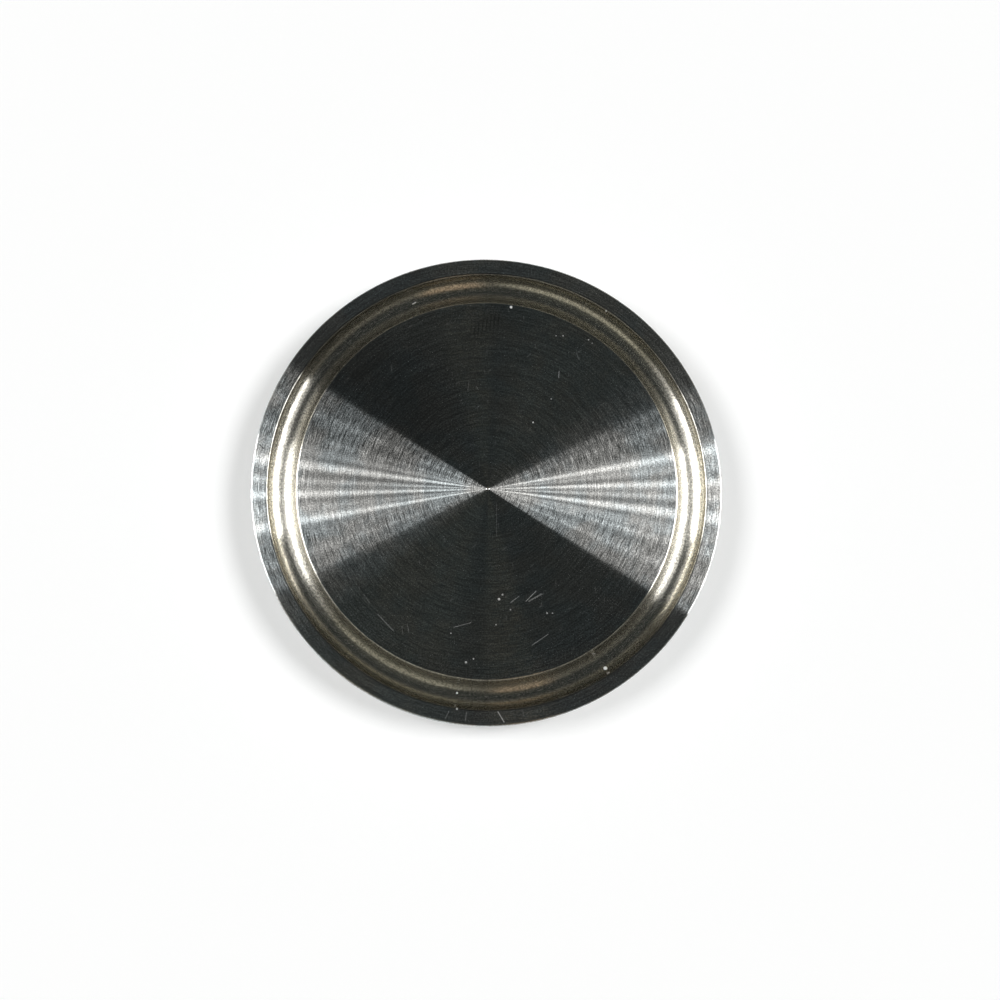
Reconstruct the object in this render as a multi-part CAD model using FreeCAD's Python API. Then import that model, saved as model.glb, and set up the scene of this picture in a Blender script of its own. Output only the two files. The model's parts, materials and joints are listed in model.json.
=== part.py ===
import FreeCAD, Part
import math
import os

# Blank ferrule for a clamped sanitary joint, turned from one bar of stainless steel.
# All sizes are in millimetres. The origin is the middle of the flat back, and +Z
# leaves through the middle of the sealing face.

# Flange
flange_diameter = 50.5
total_thickness = 6.35
edge_height = 2.85
clamp_angle = 20.0

# Gasket groove, with a round bottom and rounded lips
groove_diameter = 43.95
groove_radius = 1.5
groove_depth = 1.5
groove_lip_radius = 0.2

# Broken edges
face_edge_radius = 0.2
clamp_edge_radius = 0.3
back_edge_radius = 0.5

# Small dimple that the facing tool left at the centre
dimple_diameter = 0.5
dimple_depth = 0.08

NODE = "blank_ferrule"
FULL_TURN = 360.0


def point(radius, height):
    """A point of the half section, at a distance from the axis and a height above the back."""
    return FreeCAD.Vector(radius, 0, height)


def line(start, end):
    """A straight edge of the half section."""
    return Part.LineSegment(start, end).toShape()


def arc(start, middle, end):
    """A round edge of the half section through three points."""
    return Part.Arc(start, middle, end).toShape()


def rounded_corner(before, corner, after, radius):
    """Start, middle and end of the arc that rounds a corner between two straight edges."""
    to_before = (before - corner).normalize()
    to_after = (after - corner).normalize()
    half_angle = to_before.getAngle(to_after) / 2
    setback = radius / math.tan(half_angle)
    start = corner + to_before * setback
    end = corner + to_after * setback
    bisector = (to_before + to_after).normalize()
    centre = corner + bisector * (radius / math.sin(half_angle))
    middle = centre - bisector * radius
    return start, middle, end


def groove_side(side, face):
    """Half of the groove: where the lip leaves the face, the lip's middle and where it meets the bottom arc.

    side is -1 towards the axis and 1 towards the rim.
    """
    middle_radius = groove_diameter / 2
    bottom_centre = face - groove_depth + groove_radius
    lip_centre = face - groove_lip_radius
    reach = groove_radius + groove_lip_radius
    rise = lip_centre - bottom_centre
    offset = math.sqrt(reach**2 - rise**2)
    lip = point(middle_radius + side * offset, lip_centre)
    bottom = point(middle_radius, bottom_centre)
    on_face = point(lip.x, face)
    towards_bottom = (bottom - lip).normalize()
    on_bottom = lip + towards_bottom * groove_lip_radius
    towards_middle = (towards_bottom + FreeCAD.Vector(0, 0, 1)).normalize()
    middle = lip + towards_middle * groove_lip_radius
    return on_face, middle, on_bottom


def half_section():
    """Closed outline of the half section, from the axis over the face, the edge and the back."""
    face = total_thickness
    edge_radius = flange_diameter / 2
    taper_top = face - edge_height
    back_radius = edge_radius - taper_top / math.tan(math.radians(clamp_angle))

    axis_at_back = point(0, 0)
    dimple_bottom = point(0, face - dimple_depth)
    dimple_edge = point(dimple_diameter / 2, face)
    face_corner = point(edge_radius, face)
    clamp_corner = point(edge_radius, taper_top)
    back_corner = point(back_radius, 0)

    inner_lip = groove_side(-1, face)
    outer_lip = groove_side(1, face)
    groove_bottom = point(groove_diameter / 2, face - groove_depth)
    face_edge = rounded_corner(outer_lip[0], face_corner, clamp_corner, face_edge_radius)
    clamp_edge = rounded_corner(face_corner, clamp_corner, back_corner, clamp_edge_radius)
    back_edge = rounded_corner(clamp_corner, back_corner, axis_at_back, back_edge_radius)

    return Part.Wire([
        line(axis_at_back, dimple_bottom),
        line(dimple_bottom, dimple_edge),
        line(dimple_edge, inner_lip[0]),
        arc(*inner_lip),
        arc(inner_lip[2], groove_bottom, outer_lip[2]),
        arc(*reversed(outer_lip)),
        line(outer_lip[0], face_edge[0]),
        arc(*face_edge),
        line(face_edge[2], clamp_edge[0]),
        arc(*clamp_edge),
        line(clamp_edge[2], back_edge[0]),
        arc(*back_edge),
        line(back_edge[2], axis_at_back),
    ])


def blank_ferrule():
    """The whole piece: the half section turned once round the axis."""
    section = Part.Face(half_section())
    axis_point = FreeCAD.Vector(0, 0, 0)
    axis = FreeCAD.Vector(0, 0, 1)
    return section.revolve(axis_point, axis, FULL_TURN)


os.makedirs("parts", exist_ok=True)
blank_ferrule().exportStep(os.path.join("parts", NODE + ".step"))
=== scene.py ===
import json
import math

import bpy
from mathutils import Matrix, Vector


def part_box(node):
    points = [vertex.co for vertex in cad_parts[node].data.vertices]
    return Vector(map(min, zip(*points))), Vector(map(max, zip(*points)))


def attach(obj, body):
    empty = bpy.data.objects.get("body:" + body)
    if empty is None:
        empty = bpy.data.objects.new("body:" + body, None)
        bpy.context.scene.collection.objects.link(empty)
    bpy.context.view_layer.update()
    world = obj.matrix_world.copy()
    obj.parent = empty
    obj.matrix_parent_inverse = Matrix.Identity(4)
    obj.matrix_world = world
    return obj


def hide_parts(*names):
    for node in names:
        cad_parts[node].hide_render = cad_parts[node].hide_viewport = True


# Looks of a blank ferrule, the end cap of a clamped sanitary joint, lying face up.
# Lengths are in metres. The origin is the middle of the flat back, and +Z leaves the sealing face.

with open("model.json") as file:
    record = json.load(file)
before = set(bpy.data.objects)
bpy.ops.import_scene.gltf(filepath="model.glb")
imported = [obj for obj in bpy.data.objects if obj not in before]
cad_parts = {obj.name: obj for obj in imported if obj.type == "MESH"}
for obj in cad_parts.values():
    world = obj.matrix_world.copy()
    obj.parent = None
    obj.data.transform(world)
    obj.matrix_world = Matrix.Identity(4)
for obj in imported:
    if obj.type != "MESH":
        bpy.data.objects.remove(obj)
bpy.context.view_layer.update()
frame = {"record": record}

NODE = "blank_ferrule"
BODY = "root"

MM = 0.001

# Sizes of the piece, from the frame where it has them
node_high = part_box(NODE)[1]
mounts = {mount["name"]: mount for mount in frame["record"]["mounts"]}
FACE_HEIGHT = node_high.z
FLANGE_RADIUS = node_high.x
GROOVE_CIRCLE = mounts["gasket_groove"]["pos_m"][0]
GROOVE_RADIUS = 1.5 * MM
GROOVE_DEPTH = 1.5 * MM
LIP_RADIUS = 0.2 * MM
EDGE_HEIGHT = 2.85 * MM
CLAMP_ANGLE = math.radians(20)
FACE_EDGE_RADIUS = 0.2 * MM
CLAMP_EDGE_RADIUS = 0.3 * MM
BACK_EDGE_RADIUS = 0.5 * MM
DIMPLE_RADIUS = 0.25 * MM
DIMPLE_DEPTH = 0.08 * MM
DIMPLE_RINGS = 12

# How finely the piece is turned
SIDES = 512
FINE_STEP = math.radians(3)
SMALL_RADIUS = 1.2 * MM
SMALL_STEP = math.radians(9)
FLAT_STEP = 1.5 * MM
MERGE_DISTANCE = 0.0005 * MM
OUTWARD = "outward"

# Finish of the steel, with lengths in millimetres. A pair of them is where a finish starts and is full.
INNER_LIP = (20.25, 20.5)
OUTER_LIP = (23.45, 23.7)
OUTER_LIP_MIDDLE = sum(OUTER_LIP) / 2
UPPER_SIDE = (3.6, 4.2)
INNER_WALL = (GROOVE_CIRCLE / MM - 0.2, GROOVE_CIRCLE / MM - 0.7)
SECTION_CLIMB = 0.37
WALL_CLIMB = 1.5
WALL_START = (24.95, 25.2)
RING_PITCH = 36.0
RING_BREAK = 0.8
RING_LEAN = 0.13
RING_TURN = (0.455, 0.515)
RING_SLOPE = 0.3
GROOVE_RING_SLOPE = 0.25
FACE_ROUGH = 0.07
GROOVE_ROUGH = 0.13
INNER_WALL_ROUGH = 0.22
COOL_STEEL = (0.46, 0.495, 0.50, 1)
GREY_STEEL = (0.51, 0.505, 0.485, 1)
GROOVE_STEEL = (0.655, 0.63, 0.56, 1)
# The shine is drawn out across the ring marks
BRUSHED = 1.0
BRUSHED_TURN = 0.25
LIP_BAND = (0.06, 0.16)
LIP_TONE = 0.5
BARE_METAL = (0.85, 0.86, 0.85, 1)
BARE_ROUGH = 0.5
BARE_DULL = 0.8
RIM_DULL = 0.02

# Noise. Cells are how many there are in a millimetre, across the rings and along them where there are two.
# Tones are two values of the noise and, where they follow, the tones of the metal at them.
NOISE_MIDDLE = 0.5
NOISE_DETAIL = 2.0
NOISE_ROUGHNESS = 0.7
BROAD_DETAIL = 3.0
ARC_CELLS = (3.0, 0.12)
ARC_TONES = (0.3, 0.7, 0.93, 1.05)
BROKEN_CELLS = (7.0, 0.35)
BROKEN_TONES = (0.32, 0.68, 0.76, 1.16)
GRAIN_CELLS = 6.0
GRAIN_TONES = (0.3, 0.7, 0.62, 1.37)
PATCH_CELLS = 0.22
PATCH_SEED = 7.0
PATCH_ROUGHNESS = 0.6
PATCH_TONES = (0.38, 0.62)
PATCH_DULL = 0.01

# Wear on the face, in millimetres from its centre: straight marks with their ends, half width and strength
SCRATCH_FINENESS = 0.8
SCRATCH_STRENGTH = 0.5
LINE_CORE = 0.3
SPOT_CORE = 0.4
SCRATCHES = (
    ((2.42, -12.18), (3.33, -11.48), 0.07, 0.6),
    ((4.07, -12.01), (5.14, -10.94), 0.08, 0.7),
    ((4.39, -12.01), (5.67, -11.26), 0.14, 0.5),
    ((4.70, -16.69), (6.41, -15.52), 0.07, 0.55),
    ((-3.58, -14.81), (-1.78, -14.33), 0.07, 0.5),
    ((-11.64, -13.46), (-9.94, -15.26), 0.08, 0.4),
    ((-13.14, -11.35), (-12.50, -12.30), 0.06, 0.3),
    ((-9.09, -14.73), (-8.98, -15.57), 0.05, 0.3),
    ((-8.51, -14.51), (-8.35, -15.36), 0.05, 0.35),
    ((7.69, 12.91), (7.64, 12.19), 0.08, 0.6),
    ((-2.05, 11.76), (-2.16, 10.66), 0.05, 0.3),
    ((-1.29, 11.22), (-1.02, 10.78), 0.05, 0.3),
    ((0.94, -1.51), (0.94, -5.06), 0.04, 0.3),
    ((9.55, 15.08), (9.87, 14.20), 0.06, 0.3),
    ((-4.08, -23.67), (-4.45, -24.41), 0.07, 0.35),
    ((-2.24, -23.78), (-2.34, -24.61), 0.07, 0.4),
    ((1.09, -23.72), (1.72, -24.77), 0.11, 0.75),
    ((3.68, -23.56), (3.84, -24.19), 0.05, 0.3),
    ((-8.14, 20.51), (-7.81, 20.69), 0.12, 0.8),
)
# Specks and pits with their half width and strength
SPECKS = (
    ((1.19, -11.81), 0.19, 0.7),
    ((1.57, -11.33), 0.14, 0.5),
    ((2.42, -12.92), 0.12, 0.45),
    ((6.31, -13.28), 0.12, 0.6),
    ((6.89, -13.28), 0.11, 0.45),
    ((0.87, -14.53), 0.10, 0.5),
    ((-3.90, -15.45), 0.11, 0.5),
    ((-2.30, -18.51), 0.17, 0.6),
    ((-1.51, -18.14), 0.12, 0.55),
    ((2.50, 19.93), 0.20, 1.0),
    ((4.86, 7.28), 0.12, 0.75),
    ((6.82, 9.87), 0.10, 0.5),
    ((7.38, 16.83), 0.10, 0.4),
    ((8.15, 16.83), 0.12, 0.45),
    ((10.92, 16.42), 0.12, 0.45),
    ((11.30, 16.04), 0.10, 0.35),
    ((12.61, -19.03), 0.26, 1.0),
    ((-3.19, -21.68), 0.14, 0.9),
    ((12.85, 19.67), 0.12, 0.6),
    ((-3.24, -23.41), 0.16, 0.6),
)
# Chatter marks of the tool near the groove: middle line with its ends and half width
CHATTER = ((0.80, 18.45), (-1.25, 17.35), 1.0)
CHATTER_PITCH = 0.41
CHATTER_LEAN = -0.1
CHATTER_CREST = 0.9
CHATTER_DEPTH = 0.4
# A dark cut on the rim, with its ends and half width
RIM_CUT = ((-24.48, 4.67), (-23.89, 4.14), 0.09)
RIM_CUT_DEPTH = 0.6
# A broad area on the left of the face where the metal's colour is darker, with its half width
DARKER_AREA = ((-13.5, 7.0), 13.0)
DARKER_AREA_DEPTH = 0.3
# Directions and seeds of the faint scratches all over
FAINT_SCRATCHES = ((math.radians(40), 3.0), (math.radians(95), 11.0))
FAINT_CELLS = (7.0, 0.9)
FAINT_TONES = (0.78, 0.86, 0.0, 0.1)

# Floor, with its colour in the light and the glow that only the camera and mirrors see
FLOOR_COLOUR = (0.725, 0.725, 0.73, 1)
FLOOR_GLOW = (0.35, 0.354, 0.346, 1)
FLOOR_SIZE = 3.0

# Soft lights high on the right and left that give the piece its close shadow on the floor: azimuth and tilt
# in degrees, and strength
FLOOR_LIGHTS = (
    (8, 29, 1.75),
    (171, 33, 1.45),
)
FLOOR_LIGHT_WIDTH = math.radians(21)

# Room and light panels. Azimuths of the halfway direction are in degrees, and its tilt is a slope.
# The middle of a panel glows evenly, and its wings change step by step with the slant. A level has the
# slants between which it comes in and its change. A streak has its slant, half width and strength.
MIDDLE_GLOW = 0.17
MIDDLE_STREAKS = (
    (-7.1, 2.2, 1.9),
    (-2.1, 1.5, 1.2),
    (0.0, 1.1, 0.3),
    (2.0, 1.5, 2.1),
    (6.4, 2.1, 0.7),
    (8.4, 1.1, 0.3),
    (10.2, 1.8, 1.9),
)
# Slants between which the middle starts and ends, and tilts between which it rises by a strength
MIDDLE_START = (-11.0, -9.5)
MIDDLE_END = (13.0, 11.5)
MIDDLE_RISE = (0.18, 0.27, 0.0, 2.6)
WING_LEVELS = (
    (-32.5, -30.8, 1.9),
    (-25.5, -24.3, 0.3),
    (-9.0, 9.0, -0.1),
    (21.0, 22.5, -0.6),
    (26.0, 27.3, -1.05),
    (28.3, 29.8, -0.25),
    (31.0, 42.0, -0.2),
)
WING_STREAKS = (
    (-23.6, 2.0, 1.8),
    (-21.2, 1.2, 0.5),
    (-16.0, 1.9, 2.8),
    (-13.3, 1.8, 1.6),
    (-11.2, 1.6, 0.6),
    (14.5, 1.2, 0.5),
    (20.0, 1.3, 0.8),
    (24.6, 1.0, 0.3),
)
# Share of the wings' light, by tilt in two rises and by slant away from the middle
LOW_WING = (0.03, 0.08, 0.0, 0.33)
HIGH_WING = (0.22, 0.36, 0.0, 0.67)
FULL_WING = (12.5, 9.5, 0.1, 1.0)
WING_SHIFT = 1.5
# Both panels are stronger low in the room, at a larger tilt
PANEL_EDGE = (0.3, 0.7, 1.0, 2.6)
PANEL_COLOUR = (1.0, 1.0, 1.0)
WHITE = (1, 1, 1, 1)
CEILING_COLOUR = (0.0385, 0.0425, 0.0415, 1)
# Walls under the ceiling: the tilts between which each one comes in, and its colour
WALLS = (
    ((0.2, 0.6), (0.137, 0.132, 0.112, 1)),
    ((0.7, 1.0), (0.50, 0.49, 0.45, 1)),
)
# Soft patches of light in the room: azimuth and half width, tilts of their rise and fall, and colour
ROOM_PATCHES = (
    (-80, 11, (0.2, 0.36, 0.5, 0.9), (0.24, 0.17, 0.11)),
    (-118, 30, (0.3, 0.45, 0.55, 0.8), (0.28, 0.27, 0.22)),
    (-126, 34, (0.0, 0.06, 0.3, 0.5), (0.024, 0.024, 0.019)),
    (-83, 12, (0.02, 0.08, 0.3, 0.5), (0.022, 0.021, 0.015)),
)

# Viewpoint
VIEW_TILT = math.radians(8.6)
VIEW_SIDE = math.radians(252)
FOCAL_PIXELS = 2000
IMAGE_PIXELS = 1000
SENSOR_WIDTH = 36.0
CLIP_START = 0.01
CLIP_END = 10.0
VIEW_DISTANCE = 0.21396
AIM_OFFSET = (0.0013, -0.00118, 0)
LEAST_HEIGHT = 0.001


def flat_points(start, end):
    """Points and normals of a straight stretch of the half section, without its end."""
    along = (end - start).normalized()
    normal = Vector((-along.y, along.x))
    steps = max(1, math.ceil((end - start).length / FLAT_STEP))
    return [(start.lerp(end, step / steps), normal) for step in range(steps)]


def arc_points(centre, start, end, hollow):
    """Points and normals of a round stretch of the half section, without its end."""
    first = start - centre
    last = end - centre
    turn = first.angle_signed(last)
    fineness = FINE_STEP if first.length > SMALL_RADIUS else SMALL_STEP
    steps = max(1, math.ceil(abs(turn) / fineness))
    points = []
    for step in range(steps):
        arm = first.copy()
        arm.rotate(Matrix.Rotation(-turn * step / steps, 2))
        normal = -arm.normalized() if hollow else arm.normalized()
        points.append((centre + arm, normal))
    return points


def corner_arc(before, corner, after, radius):
    """Centre, start and end of the arc that rounds a corner between two straight stretches."""
    to_before = (before - corner).normalized()
    to_after = (after - corner).normalized()
    half_angle = to_before.angle(to_after) / 2
    setback = radius / math.tan(half_angle)
    centre = corner + (to_before + to_after).normalized() * (radius / math.sin(half_angle))
    return centre, corner + to_before * setback, corner + to_after * setback


def groove_side(side):
    """Lip centre, its point on the face and its point on the groove's bottom, -1 inner and 1 outer."""
    bottom = Vector((GROOVE_CIRCLE, FACE_HEIGHT - GROOVE_DEPTH + GROOVE_RADIUS))
    lip_height = FACE_HEIGHT - LIP_RADIUS
    reach = math.sqrt((GROOVE_RADIUS + LIP_RADIUS)**2 - (lip_height - bottom.y)**2)
    lip = Vector((GROOVE_CIRCLE + side * reach, lip_height))
    on_bottom = lip + (bottom - lip).normalized() * LIP_RADIUS
    return lip, Vector((lip.x, FACE_HEIGHT)), on_bottom


def dimple_points():
    """Points and normals of the small smooth dimple at the centre of the face."""
    points = []
    for ring in range(DIMPLE_RINGS):
        share = ring / DIMPLE_RINGS
        height = FACE_HEIGHT - DIMPLE_DEPTH / 2 * (1 + math.cos(math.pi * share))
        slope = DIMPLE_DEPTH / 2 * math.sin(math.pi * share) * math.pi / DIMPLE_RADIUS
        points.append((Vector((DIMPLE_RADIUS * share, height)), Vector((-slope, 1)).normalized()))
    return points


def half_section():
    """Points and normals of the half section, from the axis over the face and the edge to the back."""
    edge_foot = FACE_HEIGHT - EDGE_HEIGHT
    back_radius = FLANGE_RADIUS - edge_foot / math.tan(CLAMP_ANGLE)
    face_corner = Vector((FLANGE_RADIUS, FACE_HEIGHT))
    clamp_corner = Vector((FLANGE_RADIUS, edge_foot))
    back_corner = Vector((back_radius, 0))
    back_middle = Vector((0, 0))
    bottom = Vector((GROOVE_CIRCLE, FACE_HEIGHT - GROOVE_DEPTH + GROOVE_RADIUS))

    inner_lip, inner_face, inner_bottom = groove_side(-1)
    outer_lip, outer_face, outer_bottom = groove_side(1)
    face_edge = corner_arc(outer_face, face_corner, clamp_corner, FACE_EDGE_RADIUS)
    clamp_edge = corner_arc(face_corner, clamp_corner, back_corner, CLAMP_EDGE_RADIUS)
    back_edge = corner_arc(clamp_corner, back_corner, back_middle, BACK_EDGE_RADIUS)

    points = dimple_points()
    points += flat_points(Vector((DIMPLE_RADIUS, FACE_HEIGHT)), inner_face)
    points += arc_points(inner_lip, inner_face, inner_bottom, hollow=False)
    points += arc_points(bottom, inner_bottom, outer_bottom, hollow=True)
    points += arc_points(outer_lip, outer_bottom, outer_face, hollow=False)
    points += flat_points(outer_face, face_edge[1])
    points += arc_points(*face_edge, hollow=False)
    points += flat_points(face_edge[2], clamp_edge[1])
    points += arc_points(*clamp_edge, hollow=False)
    points += flat_points(clamp_edge[2], back_edge[1])
    points += arc_points(*back_edge, hollow=False)
    points += flat_points(back_edge[2], back_middle)
    points.append((back_middle, Vector((0, -1))))
    return points


class Tree:
    """A node tree that nodes are added to with their settings and sockets."""

    def __init__(self, tree):
        self.tree = tree

    def add(self, kind, settings=None, inputs=None, output=0):
        """Adds a node, sets it up, fills its sockets with values or links, and gives one output."""
        node = self.tree.nodes.new(kind)
        for name, value in (settings or {}).items():
            setattr(node, name, value)
        for name, value in (inputs or {}).items():
            socket = node.inputs[name]
            if isinstance(value, Value):
                self.tree.links.new(value.socket, socket)
            elif value is not None:
                socket.default_value = value
        return Value(self, node.outputs[output]) if node.outputs else node

    def mixed(self, factor, first, second):
        """A colour that goes from the first to the second while the factor goes from 0 to 1."""
        colours = {"Factor": factor, "A": first, "B": second}
        return self.add("ShaderNodeMix", {"data_type": "RGBA"}, colours, output=2)

    def scaled(self, vector, scale):
        """A vector or colour times a number."""
        return self.add("ShaderNodeVectorMath", {"operation": "SCALE"}, {"Vector": vector, "Scale": scale})

    def combined(self, operation, first, second, output="Vector"):
        """Vector Math with two vectors or colours."""
        vectors = {0: first, 1: second}
        return self.add("ShaderNodeVectorMath", {"operation": operation}, vectors, output)


class Value:
    """An output socket. Arithmetic on it adds Math nodes to its tree."""

    def __init__(self, tree, socket):
        self.tree = tree
        self.socket = socket

    def of(self, output):
        """Another output of the same node."""
        return Value(self.tree, self.socket.node.outputs[output])

    def math(self, operation, *values, clamp=False):
        """A Math node on values and links."""
        settings = {"operation": operation, "use_clamp": clamp}
        return self.tree.add("ShaderNodeMath", settings, dict(enumerate(values)))

    def __add__(self, other):
        return self.math("ADD", self, other)

    def __radd__(self, other):
        return self.math("ADD", other, self)

    def __sub__(self, other):
        return self.math("SUBTRACT", self, other)

    def __rsub__(self, other):
        return self.math("SUBTRACT", other, self)

    def __mul__(self, other):
        return self.math("MULTIPLY", self, other)

    def __rmul__(self, other):
        return self.math("MULTIPLY", other, self)

    def __truediv__(self, other):
        return self.math("DIVIDE", self, other)

    def __rtruediv__(self, other):
        return self.math("DIVIDE", other, self)

    def __pow__(self, other):
        return self.math("POWER", self, other)

    def largest(self, other):
        return self.math("MAXIMUM", self, other)

    def size(self):
        return self.math("ABSOLUTE", self)

    def step(self, start, end, low=0.0, high=1.0):
        """Goes smoothly from low to high while this value goes from start to end."""
        settings = {"interpolation_type": "SMOOTHSTEP"}
        sockets = {"Value": self, "From Min": start, "From Max": end, "To Min": low, "To Max": high}
        return self.tree.add("ShaderNodeMapRange", settings, sockets)


def lathe_tree():
    """A tree that turns the half section round Z into a closed piece with its exact normals kept."""
    group = bpy.data.node_groups.new("lathe", "GeometryNodeTree")
    sockets = group.interface
    sockets.new_socket("Half Section", in_out="INPUT", socket_type="NodeSocketGeometry")
    sockets.new_socket("Sides", in_out="INPUT", socket_type="NodeSocketInt")
    sockets.new_socket("Merge Distance", in_out="INPUT", socket_type="NodeSocketFloat")
    sockets.new_socket("Finish", in_out="INPUT", socket_type="NodeSocketMaterial")
    sockets.new_socket("Piece", in_out="OUTPUT", socket_type="NodeSocketGeometry")
    tree = Tree(group)

    section = tree.add("NodeGroupInput", output="Half Section")
    sides = section.of("Sides")
    count = tree.add("GeometryNodeAttributeDomainSize", inputs={"Geometry": section}, output="Point Count")
    grid = tree.add("GeometryNodeMeshGrid", inputs={"Vertices X": sides + 1, "Vertices Y": count})
    index = tree.add("GeometryNodeInputIndex")
    on_section = index.math("MODULO", index, count)
    ring = index.math("FLOOR", index / count)
    turn = ring / sides * math.tau

    def turned(value):
        """A vector of the half section, carried round to this ring."""
        settings = {"data_type": "FLOAT_VECTOR"}
        sockets = {"Geometry": section, "Value": value, "Index": on_section}
        sampled = tree.add("GeometryNodeSampleIndex", settings, sockets)
        sockets = {"Vector": sampled, "Angle": turn}
        return tree.add("ShaderNodeVectorRotate", {"rotation_type": "Z_AXIS"}, sockets)

    place = turned(tree.add("GeometryNodeInputPosition"))
    settings = {"data_type": "FLOAT_VECTOR"}
    outward = turned(tree.add("GeometryNodeInputNamedAttribute", settings, {"Name": OUTWARD}))
    piece = tree.add("GeometryNodeSetPosition", inputs={"Geometry": grid, "Position": place})
    settings = {"data_type": "FLOAT_VECTOR", "domain": "POINT"}
    sockets = {"Geometry": piece, "Name": OUTWARD, "Value": outward}
    piece = tree.add("GeometryNodeStoreNamedAttribute", settings, sockets)
    sockets = {"Geometry": piece, "Distance": section.of("Merge Distance")}
    piece = tree.add("GeometryNodeMergeByDistance", inputs=sockets)
    piece = tree.add("GeometryNodeFlipFaces", inputs={"Mesh": piece})
    piece = tree.add("GeometryNodeSetShadeSmooth", inputs={"Geometry": piece})
    piece = tree.add("GeometryNodeRealizeInstances", inputs={"Geometry": piece})
    sockets = {"Geometry": piece, "Material": section.of("Finish")}
    piece = tree.add("GeometryNodeSetMaterial", inputs=sockets)
    tree.add("NodeGroupOutput", inputs={"Piece": piece})
    return group


def turned_piece(name, finish):
    """The ferrule turned from its half section, as a plain mesh."""
    section = half_section()
    points = [(point.x, 0, point.y) for point, _ in section]
    edges = [(index, index + 1) for index in range(len(points) - 1)]
    mesh = bpy.data.meshes.new(name + "_section")
    mesh.from_pydata(points, edges, [])
    outward = mesh.attributes.new(OUTWARD, "FLOAT_VECTOR", "POINT")
    for item, (_, normal) in zip(outward.data, section):
        item.vector = (normal.x, 0, normal.y)
    blank = bpy.data.objects.new(name + "_section", mesh)
    bpy.context.collection.objects.link(blank)

    lathe = blank.modifiers.new("lathe", "NODES")
    lathe.node_group = lathe_tree()
    sizes = {"Sides": SIDES, "Merge Distance": MERGE_DISTANCE, "Finish": finish}
    for socket in lathe.node_group.interface.items_tree:
        if socket.name in sizes:
            lathe[socket.identifier] = sizes[socket.name]
    depsgraph = bpy.context.evaluated_depsgraph_get()
    turned = bpy.data.meshes.new_from_object(blank.evaluated_get(depsgraph))
    bpy.data.objects.remove(blank)
    bpy.data.meshes.remove(mesh)

    turned.name = name
    normals = [item.vector.normalized() for item in turned.attributes[OUTWARD].data]
    turned.normals_split_custom_set_from_vertices(normals)
    turned.attributes.remove(turned.attributes[OUTWARD])
    piece = bpy.data.objects.new(name, turned)
    bpy.context.collection.objects.link(piece)
    return piece


def near_line(tree, place, start, end, half_width):
    """1 on a straight mark, fading to 0 half its width away, in millimetres on the face."""
    start = Vector((*start, 0))
    span = Vector((*end, 0)) - start
    away = tree.combined("SUBTRACT", place, start)
    along = tree.combined("DOT_PRODUCT", away, span / span.length_squared, "Value")
    along = along.math("ADD", along, 0.0, clamp=True)
    gap = tree.combined("DISTANCE", away, tree.scaled(span, along), "Value")
    return gap.step(half_width, half_width * LINE_CORE)


def near_spot(tree, place, centre, half_width):
    """1 on a round mark, fading to 0 half its width away, in millimetres on the face."""
    gap = tree.combined("DISTANCE", place, (*centre, 0), "Value")
    return gap.step(half_width, half_width * SPOT_CORE)


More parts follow.
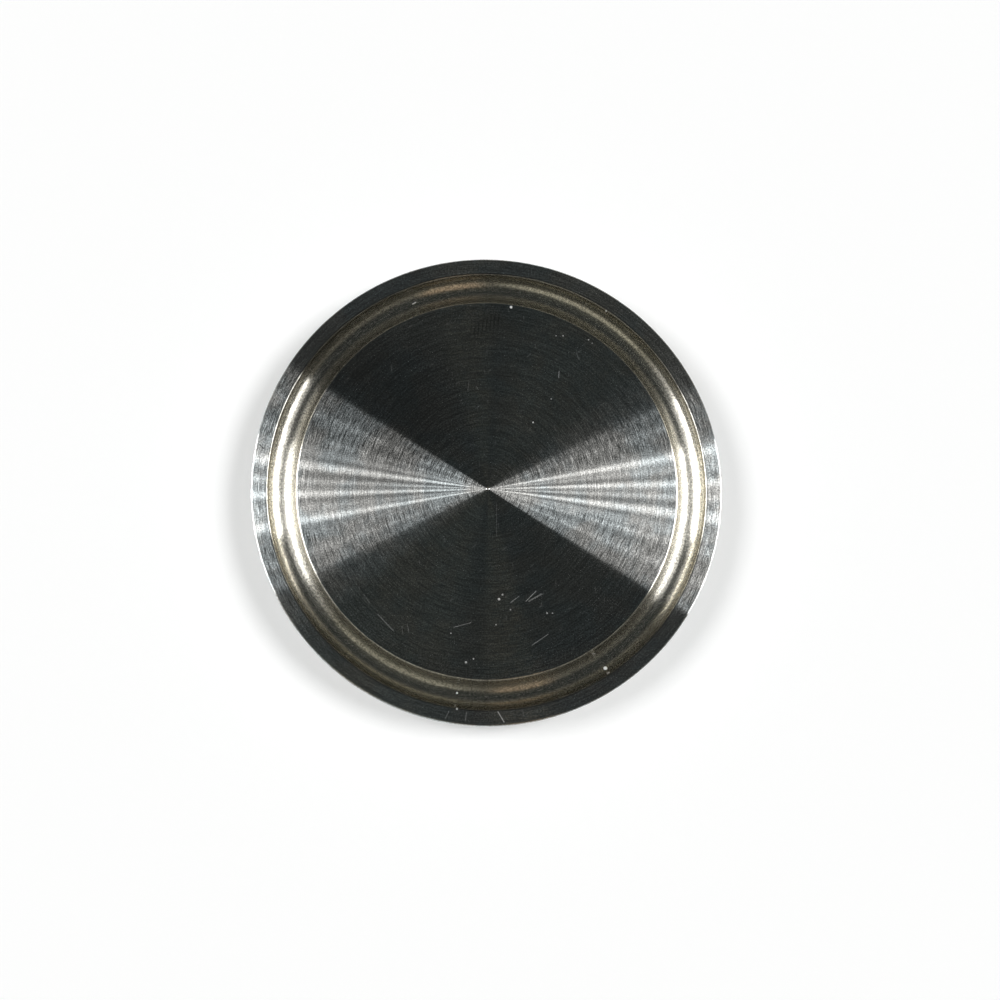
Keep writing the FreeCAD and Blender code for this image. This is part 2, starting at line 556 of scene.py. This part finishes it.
def steel_finish():
    """Turned stainless steel with ring marks, a smoother, warmer groove and the wear of the real face."""
    material = bpy.data.materials.new("turned_steel")
    material.use_nodes = True
    material.node_tree.nodes.clear()
    tree = Tree(material.node_tree)

    def noise(across, along_x, along_y, detail=NOISE_DETAIL, roughness=NOISE_ROUGHNESS):
        """Noise of 0 to 1 in three coordinates."""
        place = tree.add("ShaderNodeCombineXYZ", inputs={"X": across, "Y": along_x, "Z": along_y})
        sockets = {"Vector": place, "Scale": 1.0, "Detail": detail, "Roughness": roughness}
        return tree.add("ShaderNodeTexNoise", inputs=sockets)

    place = tree.add("ShaderNodeTexCoord", output="Object")
    axes = tree.add("ShaderNodeSeparateXYZ", inputs={"Vector": place})
    x = axes / MM
    y = axes.of("Y") / MM
    z = axes.of("Z") / MM
    radius = (x * x + y * y) ** 0.5
    upper = z.step(*UPPER_SIDE)
    in_groove = (radius.step(*INNER_LIP) - radius.step(*OUTER_LIP)) * upper
    on_inner_wall = in_groove * radius.step(*INNER_WALL)
    on_rim = radius.step(*OUTER_LIP) * upper

    # Ring marks of the turning tool, along the half section so that the edge and the taper have them too
    section = radius + z * (radius.step(*WALL_START) * WALL_CLIMB + SECTION_CLIMB)
    marks = noise(section * RING_PITCH, x * RING_BREAK, y * RING_BREAK)
    slope = (marks - NOISE_MIDDLE) * (RING_SLOPE - in_groove * (RING_SLOPE - GROOVE_RING_SLOPE))
    slope = slope + marks.step(*RING_TURN, -RING_LEAN, RING_LEAN) * (1 - in_groove)
    outward = tree.add("ShaderNodeTexCoord", output="Normal")
    around = tree.add("ShaderNodeCombineXYZ", inputs={"X": 0 - y / radius, "Y": x / radius})
    across = tree.combined("CROSS_PRODUCT", around, outward)
    ribbed = tree.combined("ADD", outward, tree.scaled(across, slope))
    settings = {"vector_type": "NORMAL", "convert_from": "OBJECT", "convert_to": "WORLD"}
    ribbed = tree.add("ShaderNodeVectorTransform", settings, {"Vector": ribbed})

    # Wear
    flat = tree.add("ShaderNodeCombineXYZ", inputs={"X": x, "Y": y})
    bare = 0
    for start, end, half_width, strength in SCRATCHES:
        mark = near_line(tree, flat, start, end, half_width * SCRATCH_FINENESS)
        bare = (mark * (strength * SCRATCH_STRENGTH)).largest(bare)
    for centre, half_width, strength in SPECKS:
        bare = bare.largest(near_spot(tree, flat, centre, half_width) * strength)
    for angle, seed in FAINT_SCRATCHES:
        across = x * math.sin(angle) - y * math.cos(angle)
        along = x * math.cos(angle) + y * math.sin(angle)
        faint = noise(across * FAINT_CELLS[0], along * FAINT_CELLS[1], seed, detail=0.0)
        bare = bare.largest(faint.step(*FAINT_TONES))
    bare = bare * upper

    # Tone of the metal
    arcs = noise(section * ARC_CELLS[0], x * ARC_CELLS[1], y * ARC_CELLS[1], BROAD_DETAIL)
    broken = noise(section * BROKEN_CELLS[0], x * BROKEN_CELLS[1], y * BROKEN_CELLS[1])
    grain = noise(x * GRAIN_CELLS, y * GRAIN_CELLS, z * GRAIN_CELLS)
    tone = (1 - in_groove) * (arcs.step(*ARC_TONES) * broken.step(*BROKEN_TONES) - 1) + 1
    tone = tone * grain.step(*GRAIN_TONES)
    waves = x.math("SINE", (x + y * CHATTER_LEAN) * (math.tau / CHATTER_PITCH))
    chatter = waves.step(0.0, CHATTER_CREST) * near_line(tree, flat, *CHATTER)
    tone = tone * (1 - chatter * CHATTER_DEPTH)
    tone = tone * (1 - near_line(tree, flat, *RIM_CUT) * RIM_CUT_DEPTH)
    # The metal's colour is darker over a broad area on the left of the face
    tone = tone * (1 - near_spot(tree, flat, *DARKER_AREA) * DARKER_AREA_DEPTH)
    tone = tone * (radius - OUTER_LIP_MIDDLE).size().step(*LIP_BAND, LIP_TONE, 1.0)
    above = z * PATCH_CELLS + PATCH_SEED
    patches = noise(x * PATCH_CELLS, y * PATCH_CELLS, above, BROAD_DETAIL, PATCH_ROUGHNESS)
    patches = patches.step(*PATCH_TONES)
    steel = tree.mixed(patches, COOL_STEEL, GREY_STEEL)
    steel = tree.mixed(in_groove, steel, GROOVE_STEEL)
    colour = tree.mixed(bare, tree.scaled(steel, tone), BARE_METAL)

    rough = FACE_ROUGH + in_groove * (GROOVE_ROUGH - FACE_ROUGH)
    rough = rough + on_inner_wall * (INNER_WALL_ROUGH - GROOVE_ROUGH)
    rough = rough + (patches - NOISE_MIDDLE) * PATCH_DULL
    rough = rough + bare * (BARE_ROUGH - rough)
    sockets = {
        "Base Color": colour,
        "Metallic": 1 - bare * BARE_DULL - on_rim * RIM_DULL,
        "Roughness": rough,
        "Anisotropic": BRUSHED,
        "Anisotropic Rotation": BRUSHED_TURN,
        "Normal": ribbed,
    }
    shader = tree.add("ShaderNodeBsdfPrincipled", inputs=sockets)
    tree.add("ShaderNodeOutputMaterial", inputs={"Surface": shader})
    return material


def pale_floor(name):
    """A plain pale floor that keeps the shadow of what lies on it."""
    material = bpy.data.materials.new(name)
    material.use_nodes = True
    material.node_tree.nodes.clear()
    tree = Tree(material.node_tree)
    lit = tree.add("ShaderNodeBsdfDiffuse", inputs={"Color": FLOOR_COLOUR})
    rays = tree.add("ShaderNodeLightPath", output="Is Camera Ray")
    seen = rays.largest(rays.of("Is Glossy Ray")).largest(rays.of("Is Transmission Ray"))
    white = tree.add("ShaderNodeEmission", inputs={"Color": FLOOR_GLOW, "Strength": seen})
    both = tree.add("ShaderNodeAddShader", inputs={0: lit, 1: white})
    tree.add("ShaderNodeOutputMaterial", inputs={"Surface": both})
    mesh = bpy.data.meshes.new(name)
    half = FLOOR_SIZE / 2
    corners = [(-half, -half, 0), (half, -half, 0), (half, half, 0), (-half, half, 0)]
    mesh.from_pydata(corners, [], [(0, 1, 2, 3)])
    mesh.materials.append(material)
    floor = bpy.data.objects.new(name, mesh)
    bpy.context.collection.objects.link(floor)


def direction(tilt, azimuth):
    """Unit vector that leans away from +Z by tilt towards azimuth."""
    return Vector((math.sin(tilt) * math.cos(azimuth), math.sin(tilt) * math.sin(azimuth), math.cos(tilt)))


def floor_lights():
    """Light for the floor and the dull marks of wear. The steel mirrors the world, which lights neither."""
    for azimuth, tilt, strength in FLOOR_LIGHTS:
        data = bpy.data.lights.new("floor light", "SUN")
        data.energy = strength
        data.angle = FLOOR_LIGHT_WIDTH
        light = bpy.data.objects.new("floor light", data)
        light.visible_glossy = False
        bpy.context.collection.objects.link(light)
        towards = direction(math.radians(tilt), math.radians(azimuth))
        light.matrix_world = towards.to_track_quat("Z", "Y").to_matrix().to_4x4()


def studio_world():
    """White to the camera. To the piece, a dark room with a striped light panel on its left and right.

    A surface mirrors the sky where its normal is halfway between the sky direction and the camera, so the
    sky is written by the azimuth and the tilt of that halfway direction. A streak of the panels is then one
    straight radial line on the turned face.
    """
    world = bpy.data.worlds.new("studio")
    world.use_nodes = True
    world.node_tree.nodes.clear()
    tree = Tree(world.node_tree)
    ray = tree.add("ShaderNodeTexCoord", output="Generated")
    halfway = tree.combined("ADD", ray, direction(VIEW_TILT, VIEW_SIDE))
    hx = tree.add("ShaderNodeSeparateXYZ", inputs={"Vector": halfway})
    hy = hx.of("Y")
    hz = hx.of("Z")
    tilt = ((hx * hx + hy * hy) ** 0.5) / hz.largest(LEAST_HEIGHT)
    azimuth = hx.math("ARCTAN2", hy, hx) / math.radians(1)
    to_right = 2 * hx.math("GREATER_THAN", hx, 0.0) - 1
    slant = hx.math("ARCTAN2", hy * to_right, hx * to_right) / math.radians(1)

    def streaked(light, streaks):
        """Light with thin streaks on top, each at its slant."""
        for centre, half, strength in streaks:
            light = (slant - centre).size().step(half, 0.0) * strength + light
        return light

    middle = streaked(MIDDLE_GLOW, MIDDLE_STREAKS) + tilt.step(*MIDDLE_RISE)
    wings = 0
    for start, end, change in WING_LEVELS:
        wings = slant.step(start, end, 0.0, change) + wings
    wings = streaked(wings, WING_STREAKS) * (tilt.step(*LOW_WING) + tilt.step(*HIGH_WING))
    wings = wings * ((slant - to_right * WING_SHIFT) * to_right).step(*FULL_WING)
    within = slant.step(*MIDDLE_START) * slant.step(*MIDDLE_END)
    panels = (wings + within * (middle - wings)) * tilt.step(*PANEL_EDGE)

    room = CEILING_COLOUR
    for rise, wall_colour in WALLS:
        room = tree.mixed(tilt.step(*rise), room, wall_colour)
    total = tree.combined("ADD", room, tree.scaled(PANEL_COLOUR, panels))
    for centre, half, tilts, colour in ROOM_PATCHES:
        lit = (azimuth - centre).size().step(half, half * SPOT_CORE)
        lit = lit * tilt.step(tilts[0], tilts[1]) * tilt.step(tilts[3], tilts[2])
        total = tree.combined("ADD", total, tree.scaled(colour, lit))
    seen = tree.add("ShaderNodeLightPath", output="Is Camera Ray")
    shade = tree.mixed(seen, total, WHITE)
    light = tree.add("ShaderNodeBackground", inputs={"Color": shade, "Strength": 1.0})
    tree.add("ShaderNodeOutputWorld", inputs={"Surface": light})
    world.cycles_visibility.diffuse = False
    bpy.context.scene.world = world


def photo_camera():
    """The photograph's viewpoint, a little to the front left of straight above."""
    data = bpy.data.cameras.new("camera")
    data.sensor_width = SENSOR_WIDTH
    data.lens = SENSOR_WIDTH * FOCAL_PIXELS / IMAGE_PIXELS
    data.clip_start = CLIP_START
    data.clip_end = CLIP_END
    camera = bpy.data.objects.new("camera", data)
    bpy.context.collection.objects.link(camera)
    centre = Vector((0, 0, FACE_HEIGHT))
    place = centre + direction(VIEW_TILT, VIEW_SIDE) * VIEW_DISTANCE
    back = (place - centre - Vector(AIM_OFFSET)).normalized()
    up = (Vector((0, 1, 0)) - back * back.y).normalized()
    side = up.cross(back)
    camera.matrix_world = Matrix.Translation(place) @ Matrix((side, up, back)).transposed().to_4x4()
    bpy.context.scene.camera = camera


photo_camera()
studio_world()
pale_floor("floor")
floor_lights()
piece = turned_piece("turned_blank", steel_finish())
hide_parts(NODE)
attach(piece, BODY)

scene = bpy.context.scene
scene.view_settings.view_transform = "Standard"
